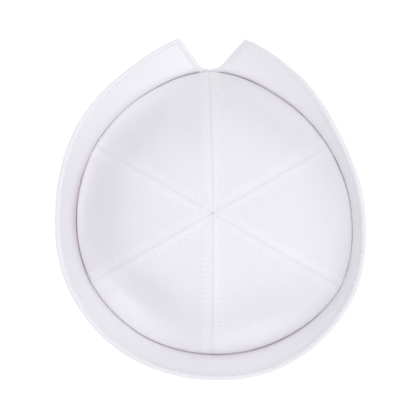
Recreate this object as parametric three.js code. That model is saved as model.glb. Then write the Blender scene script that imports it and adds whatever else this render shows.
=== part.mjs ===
// Sailor hat of white cotton twill: a crown sewn from six gores, and a deep brim turned up all round
// with a V cut out of it at the back. Millimetres, +Z up, front towards -Y, back towards +Y.
// The hat stands on the fold of its brim at z = 0, with the origin under the middle of its outline.
import * as THREE from "three";
import { mergeVertices } from "three/addons/utils/BufferGeometryUtils.js";

const { degToRad, euclideanModulo, lerp, radToDeg } = THREE.MathUtils;

// Driving sizes
const HEAD_GIRTH = 575; // round the inside of the head opening
const CROWN_HEIGHT = 88; // from the table to the point where the six gores meet
const CROWN_FLATNESS = 2.8; // power of the dome's section: 2 is an ellipse, more is flatter on top
const CROWN_SHOULDER = 1.1; // the same at the widest girth: less opens the angle between dome and brim
const CROWN_WALL = 1.4; // twill with its seam allowances pressed open
const BRIM_WIDTH = 66; // from the fold at the table to the edge, along the cloth
const BRIM_WALL = 2.2; // two plies and what stiffens them
const BRIM_TO_CROWN = 0.3; // between the turned-up brim and the crown's side
const SEAM_GAP = 0.3; // between pieces that are sewn to each other

// The gores' common point. The brim reaches further at the back than at the front, so this point lies
// a little forward of the middle of the outline.
const GORES_MEET = new THREE.Vector3(1.6, -3.4, 0);

// The hat seen from above, one row for each gore's middle and each seam, anticlockwise from the right:
// radius of the crown's widest girth, its height, how far a seam stands proud of it, radius of the
// brim's edge, height at which the brim leaves the crown's side, and how long it then bends outwards.
const OUTLINE = [
  { at: "right gore", crown: 98.6, widestAt: 48, crest: 0, brim: 106.4, flareFrom: 47, bend: 3 },
  { at: "seam, back right", crown: 94.8, widestAt: 46, crest: 0.2, brim: 105, flareFrom: 45, bend: 3 },
  { at: "back right gore", crown: 95.3, widestAt: 41, crest: 0, brim: 115.6, flareFrom: 40, bend: 6 },
  { at: "seam at the back", crown: 100.3, widestAt: 38, crest: 0.2, brim: 128.5, flareFrom: 32, bend: 12 },
  { at: "back left gore", crown: 97.1, widestAt: 38, crest: 0, brim: 117.5, flareFrom: 37.5, bend: 3 },
  { at: "seam, back left", crown: 96.1, widestAt: 38, crest: 0.5, brim: 112.3, flareFrom: 37, bend: 5 },
  { at: "left gore", crown: 96.7, widestAt: 38, crest: 0, brim: 110.8, flareFrom: 33, bend: 18 },
  { at: "seam, front left", crown: 99.6, widestAt: 38, crest: 0.5, brim: 114.8, flareFrom: 37, bend: 6 },
  { at: "front left gore", crown: 100.5, widestAt: 38, crest: 0, brim: 116.8, flareFrom: 37, bend: 4 },
  { at: "seam at the front", crown: 100.5, widestAt: 38, crest: 0.4, brim: 117.2, flareFrom: 36.5, bend: 9 },
  { at: "front right gore", crown: 102.8, widestAt: 40, crest: 0, brim: 119.2, flareFrom: 38.5, bend: 8 },
  { at: "seam, front right", crown: 104.8, widestAt: 46, crest: 0.8, brim: 115.2, flareFrom: 45, bend: 4 },
];
const ROW_DEG = 360 / OUTLINE.length;
const GORE_DEG = 2 * ROW_DEG;
const CREST_REACH_DEG = 5; // how soon a seam's crest dies away to either side
const BRIM_CREST_REACH_DEG = 12; // the same in the stiffer brim, where it bridges a crest

// Soft dents in the crown: bearing, share of the way from the gores' point to the widest girth, how far
// the crown sinks, and how far each reaches round the crown, and along the gore inwards and outwards.
const DENTS = [
  { at: "back right gore", deg: 60, share: 0.88, sinks: 2, reachDeg: 16, inward: 0.12, outward: 0.08 },
  { at: "beside the back seam", deg: 105, share: 0.72, sinks: 4.2, reachDeg: 11, inward: 0.2, outward: 0.14 },
  { at: "back left gore", deg: 131, share: 1, sinks: 11, reachDeg: 23, inward: 0.2, outward: 0.06 },
  { at: "left gore", deg: 172, share: 1, sinks: 12.5, reachDeg: 26, inward: 0.2, outward: 0.06 },
  { at: "front left gore", deg: 229, share: 0.83, sinks: 9.5, reachDeg: 18, inward: 0.17, outward: 0.1 },
  { at: "front right gore", deg: 290, share: 0.82, sinks: 6, reachDeg: 18, inward: 0.22, outward: 0.1 },
];
const DENT_FADE = 20; // power by which the dents run out towards the widest girth
const GORE_SAG = 0.028; // share by which a gore's middle lies nearer the axis than its seams, half way out
const BASE_LOPSIDED = 0.5; // share of the widest girth's unevenness that is left at the head opening

// The V at the back of the brim
const NOTCH_DEG = 90; // bearing of its middle
const NOTCH_FOOT = 26; // from the fold up to the bottom of the V
const NOTCH_HALF_WIDTH = 23.8; // at the brim's edge
const BACK_LEAN_DEG = 1.5; // how far the back seam, at the rim, and the foot of the V lean to the left
const BACK_LEAN_REACH_DEG = 15; // how soon that dies away to either side

// The fold that the hat stands on, and the brim's edge
const FOLD_RADIUS = 1.6; // of the middle of the brim's wall where it turns up
const FOLD_LEDGE = 3; // flat stretch under the crown's lower edge
const EDGE_ROUND = 1.1; // length over which the wall thins to its rounded edge
const EDGE_THINNED = 0.45; // share of the wall left at the very edge

// Mesh fineness
const GORE_COLUMNS = 10;
const DOME_ROWS = 12;
const SIDE_ROWS = 4;
const BRIM_COLUMNS = 96;
const NOTCH_ROWS = 10;

const CROWN_FOOT = BRIM_WALL + SEAM_GAP; // the crown's lower edge sits on the brim's ledge
const BASE_RADIUS = HEAD_GIRTH / (2 * Math.PI) + CROWN_WALL;
const MEAN_WIDEST = OUTLINE.reduce((sum, row) => sum + row.crown, 0) / OUTLINE.length;
const FOLD_LENGTH = (Math.PI / 2) * FOLD_RADIUS;
const WALL_FOOT = FOLD_RADIUS + BRIM_WALL / 2; // height at which the brim stands upright

// A column of the outline table at any bearing, on a smooth closed curve through its rows.
function outlineAt(column, deg) {
  const place = euclideanModulo(deg, 360) / ROW_DEG;
  const row = Math.floor(place);
  const t = place - row;
  const [before, from, to, after] = [-1, 0, 1, 2].map(
    (step) => OUTLINE[euclideanModulo(row + step, OUTLINE.length)][column],
  );
  const slopeFrom = (to - before) / 2;
  const slopeTo = (after - from) / 2;
  const rise = to - from;
  const square = 3 * rise - 2 * slopeFrom - slopeTo;
  const cube = slopeFrom + slopeTo - 2 * rise;
  return from + t * (slopeFrom + t * (square + t * cube));
}

// How far the nearest seam's crest lifts the cloth at a bearing, where it dies away over reachDeg.
function crestAt(deg, reachDeg) {
  const seam = 2 * Math.floor(euclideanModulo(deg, 360) / GORE_DEG) + 1;
  const turn = Math.abs(euclideanModulo(deg, 360) - seam * ROW_DEG);
  return OUTLINE[seam].crest * Math.exp(-turn / reachDeg);
}

// A bearing, turned by a share of the lean that the back seam and the V have.
function leaning(deg, share) {
  const turn = euclideanModulo(deg - NOTCH_DEG + 180, 360) - 180;
  return deg + BACK_LEAN_DEG * share * Math.exp(-((turn / BACK_LEAN_REACH_DEG) ** 2));
}

// A point at a bearing, a distance from the axis through the gores' point, and a height.
function around(deg, radius, height) {
  return new THREE.Vector3(radius * Math.cos(degToRad(deg)), radius * Math.sin(degToRad(deg)), height);
}

// The crown's outside radius from the head opening up to its widest girth.
function sideRadius(deg, height) {
  const widest = outlineAt("crown", deg);
  const base = BASE_RADIUS + BASE_LOPSIDED * (widest - MEAN_WIDEST);
  const rise = Math.sin((Math.PI / 2) * Math.min(1, height / outlineAt("widestAt", deg)));
  return lerp(base, widest, rise);
}

// How deep the soft dents are at a bearing and a share of the way out from the gores' point.
function dentDepth(deg, share) {
  let depth = 0;
  for (const dent of DENTS) {
    const turn = euclideanModulo(deg - dent.deg + 180, 360) - 180;
    const reachShare = share < dent.share ? dent.inward : dent.outward;
    const far = (turn / dent.reachDeg) ** 2 + ((share - dent.share) / reachShare) ** 2;
    depth += dent.sinks * Math.exp(-far);
  }
  return depth * (1 - share ** DENT_FADE);
}

// The crown's outside: down is 0 at the gores' point, 1 at the widest girth and 2 at the lower edge.
function crownSurface(deg, down) {
  const widest = outlineAt("crown", deg);
  const widestAt = outlineAt("widestAt", deg);
  const crest = crestAt(deg, CREST_REACH_DEG);
  if (down > 1) {
    const height = lerp(widestAt, CROWN_FOOT, down - 1);
    return around(leaning(deg, 1), sideRadius(deg, height) + crest * (2 - down), height);
  }
  const slant = (Math.PI / 2) * down;
  const share = Math.sin(slant) ** (2 / CROWN_FLATNESS);
  const offSeam = (1 - Math.cos(degToRad((360 / GORE_DEG) * (deg - ROW_DEG)))) / 2;
  const sag = 1 - GORE_SAG * offSeam * Math.sin(Math.PI * share);
  const dome = (CROWN_HEIGHT - widestAt) * Math.cos(slant) ** (2 / CROWN_SHOULDER);
  const radius = (widest + crest) * share * sag;
  return around(leaning(deg, share), radius, widestAt + dome - dentDepth(deg, share));
}

// The crown's outward direction at a place on it.
function crownNormal(deg, down) {
  const [stepDown, stepDeg] = [0.01, 1];
  const along = crownSurface(deg, down + stepDown).sub(crownSurface(deg, down - stepDown));
  const round = crownSurface(deg + stepDeg, down).sub(crownSurface(deg - stepDeg, down));
  return along.cross(round).normalize();
}

// A closed wall between two grids of points, rows by columns, with its rims. Triangles that have shrunk
// to a line are left out, and endsApart says from which row on the first and last columns are apart.
function closedWall(outer, inner, endsApart = 0) {
  const corners = [];
  const triangle = (a, b, c) => {
    if (!a.equals(b) && !b.equals(c) && !c.equals(a)) corners.push(a, b, c);
  };
  const quad = (a, b, c, d) => {
    triangle(a, b, c);
    triangle(a, c, d);
  };
  const lastRow = outer.length - 1;
  const last = outer[0].length - 1;
  for (let row = 0; row < lastRow; row++) {
    const [outerTop, outerLow, innerTop, innerLow] = [outer[row], outer[row + 1], inner[row], inner[row + 1]];
    for (let column = 0; column < last; column++) {
      const next = column + 1;
      quad(outerTop[column], outerLow[column], outerLow[next], outerTop[next]);
      quad(innerTop[column], innerTop[next], innerLow[next], innerLow[column]);
    }
    if (row >= endsApart) {
      quad(outerTop[0], innerTop[0], innerLow[0], outerLow[0]);
      quad(outerTop[last], outerLow[last], innerLow[last], innerTop[last]);
    }
  }
  for (let column = 0; column < last; column++) {
    const next = column + 1;
    quad(outer[0][column], outer[0][next], inner[0][next], inner[0][column]);
    quad(outer[lastRow][column], inner[lastRow][column], inner[lastRow][next], outer[lastRow][next]);
  }
  const weld = SEAM_GAP / 1000;
  return mergeVertices(new THREE.BufferGeometry().setFromPoints(corners), weld);
}

// One gore of the crown, between the seams at fromDeg and fromDeg + GORE_DEG. Its first row is one point,
// set off from the axis so that the six gores' points keep the seam gap between them.
function goreGeometry(fromDeg) {
  const middle = fromDeg + GORE_DEG / 2;
  const tip = around(middle, SEAM_GAP, CROWN_HEIGHT);
  const tipInside = around(middle, SEAM_GAP, CROWN_HEIGHT - CROWN_WALL);
  const outer = [Array(GORE_COLUMNS + 1).fill(tip)];
  const inner = [Array(GORE_COLUMNS + 1).fill(tipInside)];
  const rows = DOME_ROWS + SIDE_ROWS;
  for (let row = 1; row <= rows; row++) {
    const down = row <= DOME_ROWS ? row / DOME_ROWS : 1 + (row - DOME_ROWS) / SIDE_ROWS;
    const seamPoint = crownSurface(fromDeg, down);
    const inset = radToDeg(Math.asin(SEAM_GAP / 2 / Math.hypot(seamPoint.x, seamPoint.y)));
    const outerRow = [];
    const innerRow = [];
    for (let column = 0; column <= GORE_COLUMNS; column++) {
      const deg = lerp(fromDeg + inset, fromDeg + GORE_DEG - inset, column / GORE_COLUMNS);
      const point = crownSurface(deg, down);
      const outward = crownNormal(deg, down);
      if (row === rows) outward.setZ(0).normalize(); // the lower edge is cut level
      outerRow.push(point);
      innerRow.push(point.clone().addScaledVector(outward, -CROWN_WALL));
    }
    outer.push(outerRow);
    inner.push(innerRow);
  }
  return closedWall(outer, inner);
}

// How far the flare leans from upright, so that it bends and then runs straight out to the brim's edge.
function flareLean(reach, length, bend) {
  let [least, most] = [0.01, Math.PI / 2];
  for (let halving = 0; halving < 30; halving++) {
    const lean = (least + most) / 2;
    const reached = (bend / lean) * (1 - Math.cos(lean)) + (length - bend) * Math.sin(lean);
    if (reached < reach) least = lean;
    else most = lean;
  }
  return least;
}

// The middle of the brim's wall at a bearing and a distance up the cloth from the fold: its radius, height
// and lean, which is 0 where the wall stands upright and a quarter turn where it lies flat outwards.
// Below 0 come the fold and then the ledge under the crown, which lean the same way as a flat brim.
function brimWall(deg, up) {
  const toWall = BRIM_TO_CROWN + crestAt(deg, BRIM_CREST_REACH_DEG) + BRIM_WALL / 2;
  const foldCentre = sideRadius(deg, WALL_FOOT) + toWall - FOLD_RADIUS;
  if (up < -FOLD_LENGTH) {
    return { radius: foldCentre + up + FOLD_LENGTH, height: BRIM_WALL / 2, lean: Math.PI / 2 };
  }
  if (up < 0) {
    const lean = -up / FOLD_RADIUS;
    const radius = foldCentre + FOLD_RADIUS * Math.cos(lean);
    return { radius, height: WALL_FOOT - FOLD_RADIUS * Math.sin(lean), lean };
  }
  const flareFrom = outlineAt("flareFrom", deg);
  const upright = flareFrom - WALL_FOOT;
  if (up <= upright) {
    const height = WALL_FOOT + up;
    return { radius: sideRadius(deg, height) + toWall, height, lean: 0 };
  }
  const start = sideRadius(deg, flareFrom) + toWall;
  const bend = outlineAt("bend", deg);
  const fullLean = flareLean(outlineAt("brim", deg) - start, BRIM_WIDTH - upright, bend);
  const bendRadius = bend / fullLean;
  const bent = Math.min(up - upright, bend);
  const straight = up - upright - bent;
  const lean = bent / bendRadius;
  return {
    radius: start + bendRadius * (1 - Math.cos(lean)) + straight * Math.sin(lean),
    height: flareFrom + bendRadius * Math.sin(lean) + straight * Math.cos(lean),
    lean,
  };
}

// How far up the V a distance up the cloth is, from 0 at its foot to 1 at the brim's edge.
function notchShare(up) {
  return Math.max(0, (up - NOTCH_FOOT) / (BRIM_WIDTH - NOTCH_FOOT));
}

// Half of the V's opening at a distance up the cloth, as a turn in degrees about the axis.
function notchTurn(up) {
  return radToDeg((NOTCH_HALF_WIDTH * notchShare(up)) / brimWall(NOTCH_DEG, up).radius);
}

// The brim: one strip of cloth round the crown, whose two ends part above the foot of the V.
function brimGeometry() {
  const fold = [-FOLD_LENGTH - FOLD_LEDGE, -FOLD_LENGTH, -FOLD_LENGTH / 2, 0];
  const below = [...fold, NOTCH_FOOT / 3, (2 * NOTCH_FOOT) / 3];
  const levels = below.map((up) => ({ up, thickness: BRIM_WALL }));
  for (let row = 0; row <= NOTCH_ROWS; row++) {
    const up = lerp(NOTCH_FOOT, BRIM_WIDTH - EDGE_ROUND, row / NOTCH_ROWS);
    levels.push({ up, thickness: BRIM_WALL });
  }
  levels.push({ up: BRIM_WIDTH, thickness: BRIM_WALL * EDGE_THINNED });
  const towardsCrown = [];
  const awayFromCrown = [];
  for (const { up, thickness } of levels) {
    const open = notchTurn(up);
    const innerRow = [];
    const outerRow = [];
    for (let column = 0; column <= BRIM_COLUMNS; column++) {
      const deg = NOTCH_DEG + lerp(open, 360 - open, column / BRIM_COLUMNS);
      const { radius, height, lean } = brimWall(deg, up);
      const across = (thickness / 2) * Math.cos(lean);
      const fall = (thickness / 2) * Math.sin(lean);
      const leant = leaning(deg, 1 - notchShare(up));
      innerRow.push(around(leant, radius - across, height + fall));
      outerRow.push(around(leant, radius + across, height - fall));
    }
    // Below the V the strip runs right round, so its last column is its first one.
    if (open === 0) {
      innerRow[BRIM_COLUMNS] = innerRow[0];
      outerRow[BRIM_COLUMNS] = outerRow[0];
    }
    towardsCrown.push(innerRow);
    awayFromCrown.push(outerRow);
  }
  return closedWall(towardsCrown, awayFromCrown, below.length);
}

function twill(name, color) {
  return new THREE.MeshStandardMaterial({ name, color, roughness: 0.92, metalness: 0 });
}

const hat = new THREE.Group();
hat.name = "sailor_hat";

// The gores, anticlockwise from the right, each named for where it lies as the hat is seen from the front.
const crownTwill = twill("crown_twill", 0xf0f0f5);
const crown = new THREE.Group();
crown.position.copy(GORES_MEET);
["right", "back_right", "back_left", "left", "front_left", "front_right"].forEach((place, index) => {
  const gore = new THREE.Mesh(goreGeometry(index * GORE_DEG - ROW_DEG), crownTwill);
  gore.name = `crown_gore_${place}`;
  crown.add(gore);
});
hat.add(crown);

const brim = new THREE.Mesh(brimGeometry(), twill("brim_twill", 0xeeeef3));
brim.name = "brim";
brim.position.copy(GORES_MEET);
hat.add(brim);

export default hat;
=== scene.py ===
from math import pi

import bpy
import numpy as np
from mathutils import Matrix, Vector


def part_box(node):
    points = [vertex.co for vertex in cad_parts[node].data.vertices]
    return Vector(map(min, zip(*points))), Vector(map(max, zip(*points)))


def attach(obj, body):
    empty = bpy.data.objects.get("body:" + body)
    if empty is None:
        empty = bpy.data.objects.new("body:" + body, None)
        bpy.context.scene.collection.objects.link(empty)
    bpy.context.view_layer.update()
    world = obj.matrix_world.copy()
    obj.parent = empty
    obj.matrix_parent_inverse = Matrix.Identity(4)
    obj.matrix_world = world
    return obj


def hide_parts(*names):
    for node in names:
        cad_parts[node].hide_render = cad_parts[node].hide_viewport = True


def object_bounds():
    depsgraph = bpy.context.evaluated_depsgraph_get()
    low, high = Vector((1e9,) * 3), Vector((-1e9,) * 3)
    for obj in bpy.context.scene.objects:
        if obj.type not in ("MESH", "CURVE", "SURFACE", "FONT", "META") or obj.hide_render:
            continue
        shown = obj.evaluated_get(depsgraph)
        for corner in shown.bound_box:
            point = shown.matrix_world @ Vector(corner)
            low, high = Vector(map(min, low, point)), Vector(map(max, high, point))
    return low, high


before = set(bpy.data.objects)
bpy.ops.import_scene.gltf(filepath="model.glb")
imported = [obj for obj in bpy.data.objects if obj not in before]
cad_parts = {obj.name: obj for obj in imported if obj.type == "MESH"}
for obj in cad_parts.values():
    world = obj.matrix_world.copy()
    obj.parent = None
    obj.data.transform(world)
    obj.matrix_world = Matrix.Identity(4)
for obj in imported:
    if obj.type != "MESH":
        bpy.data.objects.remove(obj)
cadLow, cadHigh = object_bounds()
print("frame loaded:", len(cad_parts), "nodes")

# The hat from above, a row for each seam and each gore's middle, anticlockwise from the right (metres):
# crown's widest radius and its height, how proud a seam stands, radius of the brim's edge, height where the
# brim leaves the crown's side, how far off it stands, the length over which it bends outwards, how far it
# bulges below its edge, and the painted shade in the crease there, at its core and softly beside it
planColumns = ("crown", "widestAt", "crest", "brim", "flareFrom", "standOff", "bend", "bulge",
               "foldShade", "foldSoft")
planRows = [
    (0.0986, 0.048, 0.0000, 0.1064, 0.0470, 0.0000, 0.003, 0.0004, 0.30, 0.05),  # right gore
    (0.0948, 0.046, 0.0002, 0.1050, 0.0450, 0.0000, 0.003, 0.0005, 0.85, 0.12),  # seam
    (0.0953, 0.041, 0.0000, 0.1156, 0.0400, 0.0000, 0.006, 0.0004, 0.70, 0.40),  # back right gore
    (0.1003, 0.038, 0.0002, 0.1285, 0.0320, 0.0000, 0.012, 0.0001, 0.00, 0.45),  # seam at the back
    (0.0971, 0.038, 0.0000, 0.1175, 0.0375, 0.0000, 0.003, 0.0000, 0.15, 0.58),  # back left gore
    (0.0961, 0.038, 0.0005, 0.1123, 0.0370, 0.0000, 0.005, 0.0000, 0.85, 0.32),  # seam
    (0.0967, 0.038, 0.0000, 0.1108, 0.0330, 0.0001, 0.018, 0.0000, 0.70, 0.90),  # left gore
    (0.0996, 0.038, 0.0005, 0.1148, 0.0370, 0.0000, 0.006, 0.0002, 0.60, 0.38),  # seam
    (0.1005, 0.038, 0.0000, 0.1168, 0.0370, 0.0000, 0.004, 0.0004, 0.65, 0.15),  # front left gore
    (0.1007, 0.038, 0.0000, 0.1172, 0.0365, 0.0000, 0.009, 0.0006, 0.42, 0.55),  # seam at the front
    (0.1028, 0.040, 0.0000, 0.1192, 0.0385, 0.0001, 0.008, 0.0006, 0.65, 0.30),  # front right gore
    (0.1048, 0.046, 0.0008, 0.1152, 0.0450, 0.0000, 0.004, 0.0005, 0.20, 0.20),  # seam
]
plan = {name: np.array(column) for name, column in zip(planColumns, zip(*planRows))}
rowDeg = 360 / len(planRows)
goreDeg = 2 * rowDeg
hatAxis = np.array((0.0016, -0.0034, 0.0))  # under the point where the gores meet
backLean = {"at": 90.0, "turn": 1.5, "reach": 15.0}  # the back seam and the foot of the V lean to the left
halvings = 40  # steps in which a value that has no formula is closed in on


def planAt(column, deg):
    values = plan[column]
    place = np.mod(deg, 360.0) / rowDeg
    row = np.floor(place).astype(int)
    t = place - row
    before, here, there, after = (values[(row + k) % len(values)] for k in (-1, 0, 1, 2))
    slopeHere, slopeThere, rise = (there - before) / 2, (after - here) / 2, there - here
    square = 3 * rise - 2 * slopeHere - slopeThere
    cube = slopeHere + slopeThere - 2 * rise
    return here + t * (slopeHere + t * (square + t * cube))


def around(deg, radius, height):
    turn = np.radians(deg)
    return np.stack(np.broadcast_arrays(radius * np.cos(turn), radius * np.sin(turn), height), -1) + hatAxis


def bell(x, middle, reach):
    return np.exp(-(((x - middle) / reach) ** 2))


def leaning(deg, share):
    offBack = np.mod(deg - backLean["at"] + 180, 360) - 180
    return deg + backLean["turn"] * share * bell(offBack, 0, backLean["reach"])


# A closed wall of cloth between two grids of points, rows by columns. From row endsApart on,
# the first and last columns are two separate edges; before it they are one.
def closedWall(name, outer, inner, clothUv, marks, endsApart=0):
    rows, columns = outer.shape[:2]
    front = np.arange(rows * columns).reshape(rows, columns)
    back = front + rows * columns

    def cells(a, b, c, d):
        return np.stack((a, b, c, d), -1).reshape(-1, 4)

    ends = slice(endsApart, None)
    corners = np.concatenate([
        cells(front[:-1, :-1], front[1:, :-1], front[1:, 1:], front[:-1, 1:]),
        cells(back[:-1, :-1], back[:-1, 1:], back[1:, 1:], back[1:, :-1]),
        cells(front[0, :-1], front[0, 1:], back[0, 1:], back[0, :-1]),
        cells(front[-1, :-1], back[-1, :-1], back[-1, 1:], front[-1, 1:]),
        cells(front[ends, 0][:-1], back[ends, 0][:-1], back[ends, 0][1:], front[ends, 0][1:]),
        cells(front[ends, -1][:-1], front[ends, -1][1:], back[ends, -1][1:], back[ends, -1][:-1]),
    ])
    weld = np.arange(2 * rows * columns)
    if endsApart:
        for side in (front, back):
            weld[side[: endsApart + 1, -1]] = side[: endsApart + 1, 0]
    used, faces = np.unique(weld[corners], return_inverse=True)
    points = np.concatenate([outer.reshape(-1, 3), inner.reshape(-1, 3)])[used]
    mesh = bpy.data.meshes.new(name)
    mesh.from_pydata(points.tolist(), [], faces.reshape(-1, 4).tolist())
    uv = np.tile(clothUv.reshape(-1, 2), (2, 1))[corners.ravel()]
    mesh.uv_layers.new(name="clothUv").data.foreach_set("uv", uv.ravel().astype(np.float32))
    for mark, values in marks.items():
        flat = values.reshape(2 * rows * columns, -1)[used].astype(np.float32)
        kind, field = ("FLOAT_VECTOR", "vector") if flat.shape[1] == 3 else ("FLOAT", "value")
        mesh.attributes.new(mark, kind, "POINT").data.foreach_set(field, flat.ravel())
    mesh.shade_smooth()
    piece = bpy.data.objects.new(name, mesh)
    bpy.context.scene.collection.objects.link(piece)
    return piece


# Node building: sockets are wired, anything else is set on the socket
def put(tree, kind, inputs=(), output=0, **settings):
    node = tree.nodes.new(kind)
    for key, value in settings.items():
        setattr(node, key, value)
    for key, value in inputs.items() if isinstance(inputs, dict) else enumerate(inputs):
        if isinstance(value, bpy.types.NodeSocket):
            tree.links.new(value, node.inputs[key])
        else:
            node.inputs[key].default_value = value
    return node.outputs[output] if node.outputs else None


def calc(tree, operation, *values):
    return put(tree, "ShaderNodeMath", values, operation=operation)


def newTree(name, kind, inputs, outputs):
    tree = bpy.data.node_groups.new(name, kind)
    for side, sockets in (("INPUT", inputs), ("OUTPUT", outputs)):
        for label, socketKind in sockets:
            tree.interface.new_socket(label, in_out=side, socket_type="NodeSocket" + socketKind)
    return tree, tree.nodes.new("NodeGroupInput").outputs, tree.nodes.new("NodeGroupOutput").inputs


def runTree(piece, tree, values):
    modifier = piece.modifiers.new(tree.name, "NODES")
    modifier.node_group = tree
    for item in tree.interface.items_tree:
        if item.in_out == "INPUT" and item.name in values:
            modifier[item.identifier] = values[item.name]
    graph = bpy.context.evaluated_depsgraph_get()
    made = bpy.data.meshes.new_from_object(
        piece.evaluated_get(graph), preserve_all_data_layers=True, depsgraph=graph
    )
    piece.modifiers.remove(modifier)
    piece.data = made
    made.name = piece.name


# Relief that sewing leaves in cloth: a groove along a seam or a bead along an edge, a raised allowance
# beside it, a sunk row of stitches with its puckers, and a soft rumple. "sewDist" is how far a point lies
# from the seam or edge, "sewRun" how far along its stitches, "facing" which way its face looks, "proud" how
# much of the sewing shows and "loose" how free the cloth is to rumple.
def sewnRelief():
    sizes = ("Groove Depth", "Groove Reach", "Bead Height", "Bead Offset", "Bead Reach", "Allowance Height",
             "Allowance Width", "Allowance Fade", "Row Offset", "Row Depth", "Row Reach", "Stitch Pitch",
             "Pucker Depth", "Pucker Reach", "Rumple Height", "Rumple Size")
    tree, given, out = newTree(
        "sewnRelief", "GeometryNodeTree",
        [("Geometry", "Geometry"), *((label, "Float") for label in sizes), ("Material", "Material")],
        [("Geometry", "Geometry")],
    )
    dist = put(tree, "GeometryNodeInputNamedAttribute", {"Name": "sewDist"}, data_type="FLOAT")
    run = put(tree, "GeometryNodeInputNamedAttribute", {"Name": "sewRun"}, data_type="FLOAT")
    facing = put(tree, "GeometryNodeInputNamedAttribute", {"Name": "facing"}, data_type="FLOAT_VECTOR")
    loose = put(tree, "GeometryNodeInputNamedAttribute", {"Name": "loose"}, data_type="FLOAT")
    proud = put(tree, "GeometryNodeInputNamedAttribute", {"Name": "proud"}, data_type="FLOAT")

    def hump(middle, reach):
        far = calc(tree, "DIVIDE", calc(tree, "SUBTRACT", dist, middle), reach)
        return calc(tree, "EXPONENT", calc(tree, "MULTIPLY", calc(tree, "MULTIPLY", far, far), -1.0))

    groove = calc(tree, "MULTIPLY", given["Groove Depth"], hump(0.0, given["Groove Reach"]))
    bead = calc(tree, "MULTIPLY", given["Bead Height"], hump(given["Bead Offset"], given["Bead Reach"]))
    allowanceEnd = calc(tree, "ADD", given["Allowance Width"], given["Allowance Fade"])
    allowance = put(
        tree, "ShaderNodeMapRange",
        {"Value": dist, "From Min": given["Allowance Width"], "From Max": allowanceEnd,
         "To Min": given["Allowance Height"], "To Max": 0.0},
        interpolation_type="SMOOTHSTEP",
    )
    row = calc(tree, "MULTIPLY", given["Row Depth"], hump(given["Row Offset"], given["Row Reach"]))
    turn = calc(tree, "DIVIDE", calc(tree, "MULTIPLY", run, 2 * pi), given["Stitch Pitch"])
    pucker = calc(tree, "MULTIPLY", calc(tree, "MULTIPLY", calc(tree, "COSINE", turn), given["Pucker Depth"]),
                  hump(given["Row Offset"], given["Pucker Reach"]))
    grain = put(tree, "ShaderNodeTexNoise",
                {"Vector": put(tree, "GeometryNodeInputPosition"), "Detail": 2.0,
                 "Scale": calc(tree, "DIVIDE", 1.0, given["Rumple Size"])})
    rumple = calc(tree, "MULTIPLY", calc(tree, "SUBTRACT", grain, 0.5), given["Rumple Height"])
    rumple = calc(tree, "MULTIPLY", rumple, loose)
    lift = calc(tree, "SUBTRACT", calc(tree, "ADD", bead, allowance), calc(tree, "ADD", groove, row))
    lift = calc(tree, "MULTIPLY_ADD", calc(tree, "ADD", lift, pucker), proud, rumple)
    moved = put(tree, "GeometryNodeSetPosition", {
        "Geometry": given["Geometry"],
        "Offset": put(tree, "ShaderNodeVectorMath", {"Vector": facing, "Scale": lift}, operation="SCALE"),
    })
    whole = put(tree, "GeometryNodeRealizeInstances", {"Geometry": moved})
    sewn = put(tree, "GeometryNodeSetMaterial", {"Geometry": whole, "Material": given["Material"]})
    tree.links.new(sewn, out["Geometry"])
    return tree


# A row of stitches along each path: short arched threads whose ends dive into the cloth
def threadRow():
    tree, given, out = newTree(
        "threadRow", "GeometryNodeTree",
        [("Geometry", "Geometry"), ("Pitch", "Float"), ("Stitch Length", "Float"), ("Thread Width", "Float"),
         ("Arch", "Float"), ("Dive", "Float"), ("Unevenness", "Float"), ("Seed", "Int"),
         ("Material", "Material")],
        [("Geometry", "Geometry")],
    )
    path = put(tree, "GeometryNodeMeshToCurve", {"Mesh": given["Geometry"]})
    spots = put(tree, "GeometryNodeCurveToPoints",
                {"Curve": path, "Length": given["Pitch"]}, mode="LENGTH").node
    along = put(tree, "FunctionNodeAlignRotationToVector", {"Vector": spots.outputs["Tangent"]}, axis="X")
    facing = put(tree, "GeometryNodeInputNamedAttribute", {"Name": "facing"}, data_type="FLOAT_VECTOR")
    upright = put(tree, "FunctionNodeAlignRotationToVector", {"Rotation": along, "Vector": facing},
                  axis="Z", pivot_axis="X")
    half = calc(tree, "MULTIPLY", given["Stitch Length"], 0.5)
    dive = calc(tree, "MULTIPLY", given["Dive"], -1.0)
    back = put(tree, "ShaderNodeCombineXYZ", {"X": calc(tree, "MULTIPLY", half, -1.0), "Z": dive})
    top = put(tree, "ShaderNodeCombineXYZ", {"Z": given["Arch"]})
    fore = put(tree, "ShaderNodeCombineXYZ", {"X": half, "Z": dive})
    thread = put(tree, "GeometryNodeCurveQuadraticBezier",
                 {"Resolution": 5, "Start": back, "Middle": top, "End": fore})
    ring = put(tree, "GeometryNodeCurvePrimitiveCircle",
               {"Resolution": 6, "Radius": calc(tree, "MULTIPLY", given["Thread Width"], 0.5)})
    stitch = put(tree, "GeometryNodeCurveToMesh", {"Curve": thread, "Profile Curve": ring, "Fill Caps": True})
    stitch = put(tree, "GeometryNodeSetShadeSmooth", {"Geometry": stitch})
    spread = put(tree, "FunctionNodeRandomValue",
                 {2: calc(tree, "SUBTRACT", 1.0, given["Unevenness"]),
                  3: calc(tree, "ADD", 1.0, given["Unevenness"]), "Seed": given["Seed"]},
                 output=1, data_type="FLOAT")
    stitches = put(tree, "GeometryNodeInstanceOnPoints",
                   {"Points": spots.outputs["Points"], "Instance": stitch, "Rotation": upright,
                    "Scale": spread})
    whole = put(tree, "GeometryNodeRealizeInstances", {"Geometry": stitches})
    sewn = put(tree, "GeometryNodeSetMaterial", {"Geometry": whole, "Material": given["Material"]})
    tree.links.new(sewn, out["Geometry"])
    return tree


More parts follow.
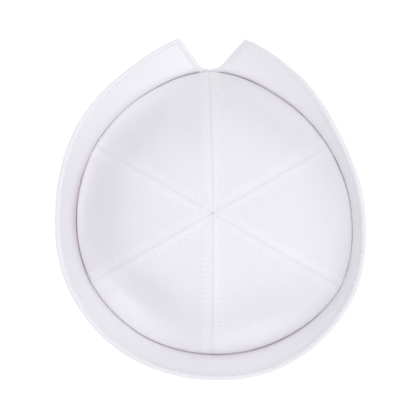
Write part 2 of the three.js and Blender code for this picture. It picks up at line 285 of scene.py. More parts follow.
def pathMesh(name, paths):
    mesh = bpy.data.meshes.new(name)
    points = np.concatenate([path for path, facing in paths])
    starts = np.cumsum([0] + [len(path) for path, facing in paths])
    edges = [(k, k + 1) for a, b in zip(starts[:-1], starts[1:]) for k in range(a, b - 1)]
    mesh.from_pydata(points.tolist(), edges, [])
    facing = np.concatenate([facing for path, facing in paths]).astype(np.float32)
    mesh.attributes.new("facing", "FLOAT_VECTOR", "POINT").data.foreach_set("vector", facing.ravel())
    piece = bpy.data.objects.new(name, mesh)
    bpy.context.scene.collection.objects.link(piece)
    return piece


# Twill: warp threads that float over two wefts and step sideways, so diagonal ribs run over the cloth
def twillWeave():
    tree, given, out = newTree(
        "twillWeave", "ShaderNodeTree",
        [("Cloth Uv", "Vector"), ("Yarn Pitch", "Float"), ("Wander", "Float")],
        [("Height", "Float"), ("Pit", "Float")],
    )
    weave = {"wandersPerMetre": 220.0, "threadsPerStep": 3.0, "yarnShare": 0.45, "pitsBelow": 0.4}
    drift = put(tree, "ShaderNodeTexNoise",
                {"Vector": given["Cloth Uv"], "Scale": weave["wandersPerMetre"], "Detail": 1.0}, output=1)
    drift = put(tree, "ShaderNodeVectorMath", {0: drift, "Scale": given["Wander"]}, operation="SCALE")
    place = put(tree, "ShaderNodeVectorMath", [given["Cloth Uv"], drift], operation="ADD")
    parts = put(tree, "ShaderNodeSeparateXYZ", [place]).node
    warp = calc(tree, "DIVIDE", parts.outputs["X"], given["Yarn Pitch"])
    weft = calc(tree, "DIVIDE", parts.outputs["Y"], given["Yarn Pitch"])
    step = calc(tree, "DIVIDE", calc(tree, "ADD", warp, weft), weave["threadsPerStep"])
    step = calc(tree, "FRACT", step)
    rib = calc(tree, "SINE", calc(tree, "MULTIPLY", step, pi))
    yarn = calc(tree, "ABSOLUTE", calc(tree, "SINE", calc(tree, "MULTIPLY", warp, pi)))
    yarn = calc(tree, "MULTIPLY_ADD", yarn, weave["yarnShare"], 1 - weave["yarnShare"])
    height = calc(tree, "MULTIPLY", rib, yarn)
    pit = put(tree, "ShaderNodeMapRange",
              {"Value": height, "From Min": 0.0, "From Max": weave["pitsBelow"],
               "To Min": 1.0, "To Max": 0.0})
    tree.links.new(height, out["Height"])
    tree.links.new(pit, out["Pit"])
    return tree


# Uneven cotton: slubs along both sets of threads and a faint cloudiness, around 0.5
def cottonTone():
    tree, given, out = newTree(
        "cottonTone", "ShaderNodeTree",
        [("Cloth Uv", "Vector"), ("Slub Length", "Float"), ("Slub Width", "Float"), ("Cloud Size", "Float")],
        [("Tone", "Float")],
    )
    shares = {"slubs": 0.35, "clouds": 0.3}
    fine = calc(tree, "DIVIDE", 1.0, given["Slub Width"])
    long = calc(tree, "DIVIDE", 1.0, given["Slub Length"])
    tones = []
    for across, along in ((fine, long), (long, fine)):
        stretch = put(tree, "ShaderNodeCombineXYZ", {"X": across, "Y": along})
        place = put(tree, "ShaderNodeVectorMath", [given["Cloth Uv"], stretch], operation="MULTIPLY")
        tones.append(put(tree, "ShaderNodeTexNoise", {"Vector": place, "Scale": 1.0, "Detail": 1.0}))
    broad = calc(tree, "DIVIDE", 1.0, given["Cloud Size"])
    cloud = put(tree, "ShaderNodeTexNoise", {"Vector": given["Cloth Uv"], "Scale": broad, "Detail": 3.0})
    clouds = calc(tree, "MULTIPLY", cloud, shares["clouds"])
    tone = calc(tree, "MULTIPLY_ADD", calc(tree, "ADD", *tones), shares["slubs"], clouds)
    tree.links.new(tone, out["Tone"])
    return tree


# Needle holes between the stitches of a row beside a seam or an edge, 1 in the middle of each hole
def needleHoles():
    tree, given, out = newTree(
        "needleHoles", "ShaderNodeTree",
        [("Sew Dist", "Float"), ("Sew Run", "Float"), ("Row Offset", "Float"), ("Stitch Pitch", "Float"),
         ("Hole Reach", "Float")],
        [("Hole", "Float")],
    )
    offRow = calc(tree, "SUBTRACT", given["Sew Dist"], given["Row Offset"])
    far = calc(tree, "DIVIDE", offRow, given["Hole Reach"])
    near = calc(tree, "EXPONENT", calc(tree, "MULTIPLY", calc(tree, "MULTIPLY", far, far), -1.0))
    turn = calc(tree, "DIVIDE", calc(tree, "MULTIPLY", given["Sew Run"], 2 * pi), given["Stitch Pitch"])
    gap = calc(tree, "MULTIPLY_ADD", calc(tree, "COSINE", turn), -0.5, 0.5)
    short = calc(tree, "POWER", gap, 4.0)  # the higher the power, the shorter a hole
    tree.links.new(calc(tree, "MULTIPLY", near, short), out["Hole"])
    return tree


def mixColour(tree, share, low, high):
    return put(tree, "ShaderNodeMix", {0: share, 6: low, 7: high}, output=2, data_type="RGBA")


def newMaterial(name):
    material = bpy.data.materials.new(name)
    material.use_nodes = True
    material.node_tree.nodes.clear()
    return material, material.node_tree


def twillMaterial(name, look):
    material, tree = newMaterial(name)
    uv = put(tree, "ShaderNodeUVMap", uv_map="clothUv")
    dist, run, backing, fold, foldSoft = (
        put(tree, "ShaderNodeAttribute", output="Fac", attribute_name=mark)
        for mark in ("sewDist", "sewRun", "backing", "fold", "foldSoft")
    )
    weave = put(tree, "ShaderNodeGroup",
                {"Cloth Uv": uv, "Yarn Pitch": look["yarnPitch"], "Wander": look["yarnWander"]},
                node_tree=weaveGroup).node
    tone = put(tree, "ShaderNodeGroup",
               {"Cloth Uv": uv, "Slub Length": look["slubLength"], "Slub Width": look["slubWidth"],
                "Cloud Size": look["cloudSize"]}, node_tree=cottonGroup)
    hole = put(tree, "ShaderNodeGroup",
               {"Sew Dist": dist, "Sew Run": run, "Row Offset": look["rowOffset"],
                "Stitch Pitch": look["stitchPitch"], "Hole Reach": look["holeReach"]}, node_tree=holeGroup)
    single = mixColour(tree, tone, look["dull"], look["bright"])
    backed = mixColour(tree, tone, look["backedDull"], look["backedBright"])
    cloth = mixColour(tree, backing, single, backed)
    pit = calc(tree, "MULTIPLY", weave.outputs["Pit"], look["pitShade"])
    cloth = mixColour(tree, pit, cloth, look["pit"])
    cloth = mixColour(tree, calc(tree, "MULTIPLY", hole, look["holeShade"]), cloth, look["pit"])
    # The crease between crown and brim is darkened with painted shade, softly beside it and at its core
    cloth = mixColour(tree, foldSoft, cloth, look["foldSoftShadeTint"])
    cloth = mixColour(tree, fold, cloth, look["foldShadeTint"])
    rough = put(tree, "ShaderNodeMapRange",
                {"Value": weave.outputs["Height"], "To Min": look["pitRoughness"],
                 "To Max": look["yarnRoughness"]})
    height = calc(tree, "MULTIPLY_ADD", weave.outputs["Height"], look["yarnRelief"],
                  calc(tree, "MULTIPLY", hole, -look["holeDepth"]))
    relief = put(tree, "ShaderNodeBump", {"Height": height, "Strength": 1.0, "Distance": 1.0})
    skin = put(tree, "ShaderNodeBsdfPrincipled",
               {"Base Color": cloth, "Roughness": rough, "Normal": relief,
                "Subsurface Weight": look["soak"], "Subsurface Radius": look["soakReach"],
                "Subsurface Scale": 1.0, "Sheen Weight": look["sheen"],
                "Sheen Roughness": look["sheenRoughness"], "Specular IOR Level": look["specular"]})
    put(tree, "ShaderNodeOutputMaterial", {"Surface": skin})
    return material


def threadMaterial(name, look):
    material, tree = newMaterial(name)
    place = put(tree, "ShaderNodeTexCoord", output="Object")
    tone = put(tree, "ShaderNodeGroup",
               {"Cloth Uv": place, "Slub Length": look["slubLength"], "Slub Width": look["slubWidth"],
                "Cloud Size": look["cloudSize"]}, node_tree=cottonGroup)
    rough = put(tree, "ShaderNodeMapRange",
                {"Value": tone, "To Min": look["dullRoughness"], "To Max": look["brightRoughness"]})
    relief = put(tree, "ShaderNodeBump", {"Height": tone, "Strength": 1.0, "Distance": look["fibreRelief"]})
    skin = put(tree, "ShaderNodeBsdfPrincipled",
               {"Base Color": mixColour(tree, tone, look["dull"], look["bright"]), "Roughness": rough,
                "Normal": relief, "Sheen Weight": look["sheen"], "Specular IOR Level": look["specular"]})
    put(tree, "ShaderNodeOutputMaterial", {"Surface": skin})
    return material


reliefTree, stitchTree = sewnRelief(), threadRow()
weaveGroup, cottonGroup, holeGroup = twillWeave(), cottonTone(), needleHoles()
sewing = {"pitch": 0.0041, "fromSeam": 0.006, "fromEdge": 0.003}  # of the stitches and their rows
twill = {
    "yarnPitch": 0.00025, "yarnWander": 0.00012, "yarnRelief": 0.00007,
    "slubLength": 0.012, "slubWidth": 0.0009, "cloudSize": 0.02,
    "dull": (0.89, 0.868, 0.878, 1), "bright": (0.97, 0.948, 0.958, 1),
    "backedDull": (0.93, 0.908, 0.918, 1), "backedBright": (0.985, 0.963, 0.973, 1),
    "pit": (0.82, 0.785, 0.80, 1), "pitShade": 0.2, "pitRoughness": 0.97, "yarnRoughness": 0.86,
    "sheen": 0.12, "sheenRoughness": 0.5, "specular": 0.2, "soak": 0.25, "soakReach": (0.0022, 0.0019, 0.002),
    "rowOffset": sewing["fromSeam"], "stitchPitch": sewing["pitch"],
    "holeReach": 0.0006, "holeDepth": 0.0002, "holeShade": 0.12,
    # The two fold tints are painted shade in the crease between crown and brim
    "foldShadeTint": (0.76, 0.63, 0.675, 1), "foldSoftShadeTint": (0.69, 0.64, 0.68, 1),
}
thread = {
    "slubLength": 0.0012, "slubWidth": 0.0003, "cloudSize": 0.004, "fibreRelief": 0.00005,
    "dull": (0.95, 0.935, 0.94, 1), "bright": (0.985, 0.97, 0.975, 1),
    "dullRoughness": 0.8, "brightRoughness": 0.6, "sheen": 0.1, "specular": 0.3,
}
# The crown takes a paler painted shade where it meets the brim
crownTwill = twillMaterial("crownTwill", twill | {"foldShadeTint": (0.70, 0.65, 0.70, 1)})
brimLook = {"slubLength": 0.016, "cloudSize": 0.026, "rowOffset": sewing["fromEdge"]}
brimTwill = twillMaterial("brimTwill", twill | brimLook)
whiteThread = threadMaterial("whiteThread", thread)
print("cloth and thread materials made")

# The crown: six gores, each a wall of cloth from the point on top down to the head opening
crown = {
    "headGirth": 0.575,
    "top": cadHigh.z,
    "foot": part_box("crown_gore_right")[0].z,
    "flatness": 2.8,  # powers of the dome's section: how flat it is on top
    "shoulder": 1.1,  # and how upright at the widest girth
    "dentFade": 20.0,  # power by which the soft dents run out towards the widest girth
    "wall": 0.0014,
    "seamGap": 0.000006,
    "sag": 0.028,  # share by which a gore's middle lies nearer the axis than its seams
    "crestReach": 5.0,  # degrees to either side in which a seam's crest dies away
    "lopsided": 0.5,  # share of the widest girth's unevenness left at the head opening
    "tipRadius": 0.0004,  # where a gore's narrow end starts, from the axis
    "rowStep": 0.0008,
    "columns": 96,
    "seamDensity": 1.5,
    "backedTo": 0.0078,  # from the seam, as far as its allowance lies behind the cloth
    "backedFade": 0.0014,
    "foldShadeReach": 0.0005,  # from the widest girth, over which the shade painted into the fold runs out
    "pressedOver": 0.065,  # from the widest girth, over which the seams change from there to the top
    "finePoints": 6000,  # down a gore, to measure along it
    "probeDown": 0.006,  # steps to either side from which the facing is worked out, down
    "probeDeg": 0.3,  # and round
}
goreNames = ("right", "back_right", "back_left", "left", "front_left", "front_right")
baseRadius = crown["headGirth"] / (2 * pi) + crown["wall"]

# Soft dents: bearing, share of the way from the top out to the widest girth, how far the crown sinks, reach
# round, and reach along the gore inwards and outwards
dentRows = [
    (60, 0.88, 0.0020, 16, 0.12, 0.08),  # back right gore
    (105, 0.72, 0.0042, 11, 0.20, 0.14),  # beside the seam at the back
    (131, 1.00, 0.0110, 23, 0.20, 0.06),  # back left gore
    (172, 1.00, 0.0125, 26, 0.20, 0.06),  # left gore
    (229, 0.83, 0.0095, 18, 0.17, 0.10),  # front left gore
    (290, 0.82, 0.0060, 18, 0.22, 0.10),  # front right gore
]

rowOnCrown = {
    "lift": 0.0002, "sinks": 0.0004, "shortStart": 0.0035, "longStart": 0.0, "end": 1.94,
    "rimShare": 0.97,  # of the way out to the widest girth, where a row changes from the top to the side
    "step": 0.001, "sidePoints": 50,
}
longSeams = (90.0, 270.0)  # their rows run on over the top
shortSeams = (30.0, 150.0, 210.0, 330.0)
seamShow = {  # how much of each seam's sewing shows, on top and at the widest girth
    30: (0.55, 0.35), 90: (0.5, 0.35), 150: (0.5, 0.4), 210: (0.7, 0.4), 270: (0.9, 0.0), 330: (0.5, 0.25),
}
goreSewing = {
    "Groove Depth": 0.00014, "Groove Reach": 0.0008, "Bead Height": 0.00028, "Bead Offset": 0.0017,
    "Bead Reach": 0.0008, "Allowance Height": 0.0003, "Allowance Width": 0.0072, "Allowance Fade": 0.0012,
    "Row Offset": sewing["fromSeam"], "Row Depth": 0.0003, "Row Reach": 0.0008,
    "Stitch Pitch": sewing["pitch"], "Pucker Depth": 0.00024, "Pucker Reach": 0.0028,
    "Rumple Height": 0.0007, "Rumple Size": 0.03, "Material": crownTwill,
}


def crestAt(deg, reach):
    seam = rowDeg + goreDeg * np.round((deg - rowDeg) / goreDeg)
    return planAt("crest", seam) * np.exp(-np.abs(deg - seam) / reach)


def crownSide(deg, height):
    widest = planAt("crown", deg)
    base = baseRadius + crown["lopsided"] * (widest - plan["crown"].mean())
    return base + (widest - base) * np.sin(pi / 2 * np.minimum(height / planAt("widestAt", deg), 1))


def dentDepth(deg, share):
    depth = 0
    for dentDeg, dentShare, deepest, reachDeg, inward, outward in dentRows:
        turn = np.mod(deg - dentDeg + 180, 360) - 180
        reachShare = np.where(share < dentShare, inward, outward)
        depth = depth + deepest * bell(turn, 0, reachDeg) * bell(share, dentShare, reachShare)
    return depth * (1 - np.clip(share, 0, 1) ** crown["dentFade"])


# The outside of the crown: down is 0 at the top, 1 at the widest girth and 2 at the head opening
def crownPoint(deg, down):
    crest = crestAt(deg, crown["crestReach"])
    onSide = np.clip(down - 1, 0, 1)
    slant = pi / 2 * np.clip(down, 0, 1)
    share = np.sin(slant) ** (2 / crown["flatness"])
    offSeam = (1 - np.cos(np.radians(360 / goreDeg * (deg - rowDeg)))) / 2
    widestAt = planAt("widestAt", deg)
    sideHeight = widestAt + (crown["foot"] - widestAt) * onSide
    out = (planAt("crown", deg) + crest) * share * (1 - crown["sag"] * offSeam * np.sin(pi * share))
    side = crownSide(deg, sideHeight) + crest * (1 - onSide)
    dome = (crown["top"] - widestAt) * np.cos(slant) ** (2 / crown["shoulder"])
    radius = np.where(down > 1, side, out)
    return around(leaning(deg, share), radius, sideHeight + dome - dentDepth(deg, share))


def unit(v):
    return v / np.linalg.norm(v, axis=-1, keepdims=True)


def crownFacing(deg, down):
    step, turn = np.minimum(crown["probeDown"], down / 2), crown["probeDeg"]
    along = crownPoint(deg, np.minimum(down + step, 2)) - crownPoint(deg, down - step)
    about = crownPoint(deg + turn, down) - crownPoint(deg - turn, down)
    return unit(np.cross(along, about))


def lengths(points):
    return np.concatenate([[0], np.cumsum(np.linalg.norm(np.diff(points, axis=0), axis=1))])


def planRadius(points):
    return np.hypot(points[..., 0] - hatAxis[0], points[..., 1] - hatAxis[1])


def rowStartAt(seamDeg):
    return rowOnCrown["longStart" if seamDeg % 360 in longSeams else "shortStart"]


def showAt(seamDeg, toRim):
    onTop, atRim = seamShow[round(seamDeg) % 360]
    return onTop + (atRim - onTop) * np.clip(1 - toRim / crown["pressedOver"], 0, 1)


def goreWall(place, fromDeg):
    toDeg = fromDeg + goreDeg
    middleDeg = (fromDeg + toDeg) / 2
    tip = 2 / pi * np.arcsin((crown["tipRadius"] / planAt("crown", middleDeg)) ** (crown["flatness"] / 2))
    fine = np.linspace(tip, 2, crown["finePoints"])
    run = lengths(crownPoint(middleDeg, fine))
    rowRun = np.linspace(0, run[-1], round(run[-1] / crown["rowStep"]) + 1)
    down = np.interp(rowRun, run, fine)[:, None]
    half = np.linspace(0, 1, crown["columns"] // 2 + 1) ** crown["seamDensity"] / 2
    column = np.concatenate([half, 1 - half[-2::-1]])[None, :]
    inset = np.degrees(np.arcsin(crown["seamGap"] / 2 / planRadius(crownPoint(fromDeg, down))))
    deg = fromDeg + inset + (goreDeg - 2 * inset) * column
    onFirst = column <= 0.5
    rowStart = np.where(onFirst, rowStartAt(fromDeg), rowStartAt(toDeg))
    seamRun = [np.interp(down, fine, lengths(crownPoint(seamDeg, fine))) for seamDeg in (fromDeg, toDeg)]
    down = np.broadcast_to(down, deg.shape)
    outer = crownPoint(deg, down)
    facing = crownFacing(deg, down)
    radius = planRadius(outer)
    fromSeam = np.radians(np.minimum(deg - fromDeg, toDeg - deg))
    sewDist = radius * np.sin(fromSeam)
    sewRun = np.where(onFirst, *seamRun) + crown["tipRadius"] - radius * (1 - np.cos(fromSeam)) - rowStart
    backing = np.clip((crown["backedTo"] - sewDist) / crown["backedFade"], 0, 1)
    toRim = np.clip(planAt("crown", deg) - radius, 0, None)
    proud = np.where(onFirst, showAt(fromDeg, toRim), showAt(toDeg, toRim))
    # Shade painted into the crown's side where the brim lies against it
    fold = planAt("foldShade", deg) * np.where(down < 1, bell(toRim, 0, crown["foldShadeReach"]), 1)
    across = radius * np.radians(deg - middleDeg)
    clothUv = np.stack((across, np.broadcast_to(rowRun[:, None], deg.shape)), -1)
    marks = {
        "sewDist": np.stack((sewDist, sewDist)),
        "sewRun": np.stack((sewRun, sewRun)),
        "backing": np.stack((backing, backing)),
        "loose": np.stack((np.ones_like(deg), np.ones_like(deg))),
        "proud": np.stack((proud, proud)),
        "fold": np.stack((fold, fold)),
        "foldSoft": np.zeros((2, *deg.shape)),
        "facing": np.stack((facing, np.zeros_like(facing))),
    }
    return closedWall("twill_gore_" + place, outer, outer - crown["wall"] * facing, clothUv, marks)


gores = []
for index, place in enumerate(goreNames):
    gore = goreWall(place, index * goreDeg - rowDeg)
    runTree(gore, reliefTree, goreSewing)
    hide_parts("crown_gore_" + place)
    gores.append(gore)
print("crown sewn from", len(gores), "gores,", sum(len(g.data.polygons) for g in gores), "faces")

# The brim: one strip folded under the crown, standing up against it and flaring at its edge
brim = {
    "width": 0.066,  # from the fold to the edge, along the cloth
    "wall": 0.0022,
    "crestReach": 5.0,  # degrees to either side in which it bridges a seam's crest
    "foldRadius": 0.0016,
    "ledge": 0.003,  # flat stretch under the crown's lower edge
    "notchDeg": 90.0,
    "notchFoot": 0.026,  # from the fold up to the bottom of the V
    "notchHalfWidth": 0.0238,  # at the brim's edge
    "edgeRound": 0.0011,
    "edgeLeast": 0.015,  # share of that rounding at which the very edge is left
    "edgeRows": 7,  # across that rounding
    "edgeEndDeg": 10.0,  # short of the very edge, on the way round it
    "edgeBand": 0.0065,  # finely meshed stretch along the edge
    "halfColumns": 370,
    "notchDensity": 1.35,
    "leastLean": 0.01,  # of the flare, in radians
    "wave": 0.0004,
    "ripples": ((3, 1.0, 0.6), (5, 0.7, 2.1), (8, 0.5, 0.0)),  # waves round the edge, strength, start
    "looseFrom": 0.004,  # from the fold, where the cloth starts to rumple
    "looseOver": 0.012,
    "bulgeAt": 0.0065,  # from the edge
    "bulgeReach": 0.004,
    "foldShadeReach": 0.5,  # share of its bend over which the painted shade against the crown runs out
    "foldSoftShadeReach": 0.0036,  # the same for its soft painted shade, outwards from the crown's widest girth
}
rowOnBrim = {"lift": 0.0001, "aboveFoot": 0.003, "risingPoints": 60, "edgePoints": 900}
foldLength = pi / 2 * brim["foldRadius"]
wallFoot = brim["foldRadius"] + brim["wall"] / 2
notchSlant = np.arctan2(brim["notchHalfWidth"], brim["width"] - brim["notchFoot"])

brimSewing = {
    "Groove Depth": 0.0, "Groove Reach": 0.001, "Bead Height": 0.0006, "Bead Offset": 0.0015,
    "Bead Reach": 0.001, "Allowance Height": 0.0, "Allowance Width": 0.001, "Allowance Fade": 0.0012,
    "Row Offset": sewing["fromEdge"], "Row Depth": 0.0004, "Row Reach": 0.0006,
    "Stitch Pitch": sewing["pitch"], "Pucker Depth": 0.00012, "Pucker Reach": 0.0018,
    "Rumple Height": 0.0006, "Rumple Size": 0.026, "Material": brimTwill,
}


# The middle of the brim's wall, and which way it faces away from the crown
def brimMiddle(deg, up):
    toWall = planAt("standOff", deg) + crestAt(deg, brim["crestReach"]) + brim["wall"] / 2
    foldRadius = brim["foldRadius"]
    foldLean = np.clip(-up / foldRadius, 0, pi / 2)
    foldPlace = crownSide(deg, wallFoot) + toWall - foldRadius * (1 - np.cos(foldLean))
    flareFrom = planAt("flareFrom", deg)
    upright = flareFrom - wallFoot
    wallRadius = crownSide(deg, np.clip(wallFoot + up, wallFoot, flareFrom)) + toWall
    reach = planAt("brim", deg) - crownSide(deg, flareFrom) - toWall
    bend = planAt("bend", deg)
    straight = brim["width"] - upright - bend
    low, high = np.full_like(deg, brim["leastLean"]), np.full_like(deg, pi / 2)
    for halving in range(halvings):  # the flare leans just enough to bring the edge out to its radius
        trial = (low + high) / 2
        short = bend / trial * (1 - np.cos(trial)) + straight * np.sin(trial) < reach
        low, high = np.where(short, trial, low), np.where(short, high, trial)
    bent = np.clip(up - upright, 0, bend)
    onward = np.clip(up - upright - bend, 0, None)
    flareLean = low * bent / bend
    radius = np.where(up < 0, foldPlace + np.minimum(up + foldLength, 0), wallRadius)
    radius = radius + bend / low * (1 - np.cos(flareLean)) + onward * np.sin(low)
    height = wallFoot + np.clip(up, 0, upright) - foldRadius * np.sin(foldLean)
    height = height + bend / low * np.sin(flareLean) + onward * np.cos(low)
    lean = foldLean + flareLean
    free = np.clip((up - brim["notchFoot"]) / (brim["width"] - brim["notchFoot"]), 0, 1)
    deg = leaning(deg, 1 - free)
    turn = np.radians(deg)
    facing = np.stack((np.cos(lean) * np.cos(turn), np.cos(lean) * np.sin(turn), -np.sin(lean)), -1)
    ripple = sum(strength * np.sin(waves * turn + start) for waves, strength, start in brim["ripples"])
    wave = brim["wave"] * free**2 * ripple
    bulge = planAt("bulge", deg) * bell(brim["width"] - up, brim["bulgeAt"], brim["bulgeReach"])
    return around(deg, radius, height) + (wave + bulge)[..., None] * facing, facing


def notchTurn(up, inside=0.0):
    share = np.clip((up - brim["notchFoot"]) / (brim["width"] - brim["notchFoot"]), 0, None)
    middle, facing = brimMiddle(np.full_like(up, brim["notchDeg"]), up)
    return np.degrees((brim["notchHalfWidth"] * share + inside / np.cos(notchSlant)) / planRadius(middle))


# Half of the wall's thickness, rounded off towards a free edge
def halfWall(fromEdge):
    inward = np.clip(fromEdge / brim["edgeRound"], brim["edgeLeast"], 1)
    return brim["wall"] / 2 * np.sqrt(1 - (1 - inward) ** 2)


def brimStrip():
    foot, width, edgeRound = brim["notchFoot"], brim["width"], brim["edgeRound"]
    stretches = [  # from, to, rows
        (-foldLength - brim["ledge"], -foldLength, 3),
        (-foldLength, 0, 6),
        (0, foot, 8),
        (foot, width - brim["edgeBand"], 28),
        (width - brim["edgeBand"], width - edgeRound, 12),
    ]
    rows = [np.linspace(low, high, count, endpoint=False) for low, high, count in stretches]
    roundDeg = np.linspace(90, brim["edgeEndDeg"], brim["edgeRows"])
    rows.append(width - edgeRound * (1 - np.cos(np.radians(roundDeg))))
    up = np.concatenate(rows)[:, None]
    half = np.linspace(0, 1, brim["halfColumns"] + 1) ** brim["notchDensity"] / 2
    column = np.concatenate([half, 1 - half[-2::-1]])[None, :]
    opening = notchTurn(up)
    deg = brim["notchDeg"] + opening + (360 - 2 * opening) * column
    up = np.broadcast_to(up, deg.shape)
    middle, facing = brimMiddle(deg, up)
    fromSide = np.minimum(column, 1 - column) * np.radians(360 - 2 * opening)
    toNotch = planRadius(middle) * fromSide
    toNotch = np.where(up > foot, toNotch * np.cos(notchSlant), np.hypot(toNotch, foot - up))
    sewDist = np.minimum(width - up, toNotch)
    thick = halfWall(sewDist)[..., None] * facing
    faces = np.stack((middle - thick, middle + thick))
    steps = np.linalg.norm(np.diff(faces, axis=2), axis=-1)
    along = np.concatenate([np.zeros_like(steps[..., :1]), np.cumsum(steps, axis=-1)], -1)
    rowIn = sewing["fromEdge"] / np.cos(notchSlant)
    rising = (width - sewing["fromEdge"] - foot - rowOnBrim["aboveFoot"]) / np.cos(notchSlant)
    alongRow = along - rowIn + rising
    upNotch = (up - foot - rowOnBrim["aboveFoot"]) / np.cos(notchSlant)
    downNotch = along[..., -1:] - 2 * rowIn + 2 * rising - upNotch
    sewRun = np.where(toNotch < width - up, np.where(column <= 0.5, upNotch, downNotch), alongRow)
    loose = np.clip((up - brim["looseFrom"]) / brim["looseOver"], 0, 1)
    # Shade painted into the brim's inner face beside the crown, at the crease and softly beyond it
    bentUp = np.clip(up - planAt("flareFrom", deg) + wallFoot, 0, None)
    fold = planAt("foldShade", deg) * bell(bentUp, 0, brim["foldShadeReach"] * planAt("bend", deg))
    offRim = np.clip(planRadius(middle) - planAt("crown", deg), 0, None)
    foldSoft = planAt("foldSoft", deg) * bell(offRim, 0, brim["foldSoftShadeReach"])
    marks = {
        "sewDist": np.stack((sewDist, sewDist)),
        "sewRun": sewRun,
        "backing": np.ones_like(along),
        "fold": np.stack((fold, np.zeros_like(fold))),
        "foldSoft": np.stack((foldSoft, np.zeros_like(foldSoft))),
        "loose": np.stack((loose, loose)),
        "proud": np.ones_like(along),
        "facing": np.stack((-facing, facing)),
    }
    lowRows = sum(count for low, high, count in stretches[:3])
    return closedWall("twill_brim", *faces, np.stack((along[0], up), -1), marks, lowRows)


brimPiece = brimStrip()
runTree(brimPiece, reliefTree, brimSewing)
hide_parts("brim")
print("brim folded up,", len(brimPiece.data.polygons), "faces")

# Topstitching: a row on each side of every seam of the crown, and one round the brim's edge on both faces
topstitch = {
    "Pitch": sewing["pitch"], "Stitch Length": 0.0033, "Thread Width": 0.0009, "Arch": 0.0008, "Dive": 0.0004,
    "Unevenness": 0.06, "Seed": 7, "Material": whiteThread,
}


# Where the crown is a given distance from its axis, on the way from the top to the widest girth
def downAt(deg, radius):
    low, high = np.zeros_like(deg), np.ones_like(deg)
    for halving in range(halvings):
        middle = (low + high) / 2
        inside = planRadius(crownPoint(deg, middle)) < radius
        low, high = np.where(inside, middle, low), np.where(inside, high, middle)
    return low


def crownRow(seamDeg, side):
    offset = sewing["fromSeam"]
    reach = planAt("crown", np.array(seamDeg)) * rowOnCrown["rimShare"]
    out = np.arange(rowStartAt(seamDeg), reach, rowOnCrown["step"])
    deg = seamDeg + side * np.degrees(np.arctan2(offset, out))
    down = downAt(deg, np.hypot(out, offset))
    lower = np.linspace(down[-1], rowOnCrown["end"], rowOnCrown["sidePoints"])[1:]
    lowerDeg = seamDeg + side * np.degrees(np.arcsin(offset / planRadius(crownPoint(deg[-1], lower))))
    deg, down = np.concatenate([deg, lowerDeg]), np.concatenate([down, lower])
    facing = crownFacing(deg, down)
    points = crownPoint(deg, down)
    show = showAt(seamDeg, np.clip(planAt("crown", deg) - planRadius(points), 0, None))
    lift = rowOnCrown["lift"] - rowOnCrown["sinks"] * np.clip(1 - show, 0, 1)
    return points + lift[:, None] * facing, facing


def brimRow(side):
    inside, start = sewing["fromEdge"], brim["notchFoot"] + rowOnBrim["aboveFoot"]
    rising = np.linspace(start, brim["width"] - inside, rowOnBrim["risingPoints"])
    opening = notchTurn(rising, inside)
    edge = np.linspace(opening[-1], 360 - opening[-1], rowOnBrim["edgePoints"])[1:-1]
    up = np.concatenate([rising, np.full_like(edge, rising[-1]), rising[::-1]])
    deg = brim["notchDeg"] + np.concatenate([opening, edge, 360 - opening[::-1]])
    middle, facing = brimMiddle(deg, up)
    return middle + side * (brim["wall"] / 2 + rowOnBrim["lift"]) * facing, side * facing


rows = []
for side in (1, -1):
    backRow, backFacing = crownRow(longSeams[0], side)
    frontRow, frontFacing = crownRow(longSeams[1], -side)
    overTop = np.concatenate([backRow[::-1], frontRow[1:]])
    rows.append((overTop, np.concatenate([backFacing[::-1], frontFacing[1:]])))
    rows += [crownRow(seamDeg, side) for seamDeg in shortSeams]
crownStitches = pathMesh("crown_topstitch", rows)
runTree(crownStitches, stitchTree, topstitch)
brimStitches = pathMesh("brim_topstitch", [brimRow(1), brimRow(-1)])
runTree(brimStitches, stitchTree, topstitch)
print("topstitched,", len(crownStitches.data.polygons) + len(brimStitches.data.polygons), "faces of thread")

for piece in (*gores, brimPiece, crownStitches, brimStitches):
    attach(piece, "root")

# A pale sweep under the hat
studio = {
    "floorHalf": 10.0, "floorColour": (0.9, 0.9, 0.9, 1), "floorGlow": 0.3, "floorGrain": 3.0,
    "floorSmooth": 0.85, "floorRough": 0.95,
    "sky": (0.934, 0.951, 1.0, 1), "skyStrength": 0.55, "lampColour": (0.934, 0.951, 1.0), "lampFar": 2.5,
    "pixel": 0.00071, "pixels": 416, "axisPixel": (212.5, 213.0), "sharpAt": 0.05, "cameraAbove": 4.0,
}
floorMaterial, tree = newMaterial("paleFloor")
grain = put(tree, "ShaderNodeTexNoise",
            {"Vector": put(tree, "ShaderNodeTexCoord", output="Object"), "Scale": studio["floorGrain"],
             "Detail": 2.0})
rough = put(tree, "ShaderNodeMapRange",
            {"Value": grain, "To Min": studio["floorSmooth"], "To Max": studio["floorRough"]})
paint = put(tree, "ShaderNodeBsdfPrincipled",
            {"Base Color": studio["floorColour"], "Emission Color": studio["floorColour"],
             "Emission Strength": studio["floorGlow"], "Roughness": rough})
put(tree, "ShaderNodeOutputMaterial", {"Surface": paint})
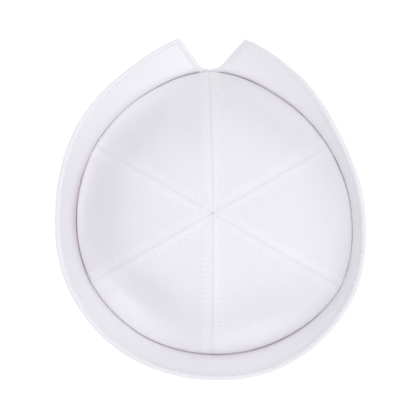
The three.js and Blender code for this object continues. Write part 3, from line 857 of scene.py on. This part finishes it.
floorMesh = bpy.data.meshes.new("floor")
far = studio["floorHalf"]
floorMesh.from_pydata([(-far, -far, 0), (far, -far, 0), (far, far, 0), (-far, far, 0)], [], [(0, 1, 2, 3)])
floorMesh.materials.append(floorMaterial)
floor = bpy.data.objects.new("floor", floorMesh)
bpy.context.scene.collection.objects.link(floor)

world = bpy.data.worlds.new("softSky")
world.use_nodes = True
sky = world.node_tree.nodes["Background"]
sky.inputs["Color"].default_value = studio["sky"]
sky.inputs["Strength"].default_value = studio["skyStrength"]
bpy.context.scene.world = world
lampRows = [  # name, bearing, how high above the floor, size, watts
    ("overhead", 0, 90, 2.0, 29.0),
    ("frontRight", 320, 42, 1.2, 4.5),
    ("right", 0, 22, 1.2, 3.7),
    ("left", 180, 22, 1.2, 1.5),
]
for lampName, bearing, rise, size, watts in lampRows:
    lampData = bpy.data.lights.new(lampName, "AREA")
    lampData.size = size
    lampData.energy = watts
    lampData.color = studio["lampColour"]
    lamp = bpy.data.objects.new(lampName, lampData)
    lamp.location = studio["lampFar"] * Vector((
        np.cos(np.radians(rise)) * np.cos(np.radians(bearing)),
        np.cos(np.radians(rise)) * np.sin(np.radians(bearing)),
        np.sin(np.radians(rise)),
    ))
    lamp.rotation_euler = (-lamp.location).to_track_quat("-Z", "Y").to_euler()
    lamp.visible_camera = False
    bpy.context.scene.collection.objects.link(lamp)

# The camera looks straight down, with the crown's middle on its pixel
cameraData = bpy.data.cameras.new("overhead")
cameraData.sensor_width = 36.0
cameraData.lens = cameraData.sensor_width * studio["cameraAbove"] / (studio["pixel"] * studio["pixels"])
cameraData.clip_end = 30.0
camera = bpy.data.objects.new("overhead", cameraData)
offset = [(at - studio["pixels"] / 2) * studio["pixel"] for at in studio["axisPixel"]]
camera.location = (hatAxis[0] - offset[0], hatAxis[1] + offset[1], studio["sharpAt"] + studio["cameraAbove"])
bpy.context.scene.collection.objects.link(camera)
bpy.context.scene.camera = camera
bpy.context.scene.view_settings.view_transform = "Standard"
print("floor, light and camera set")
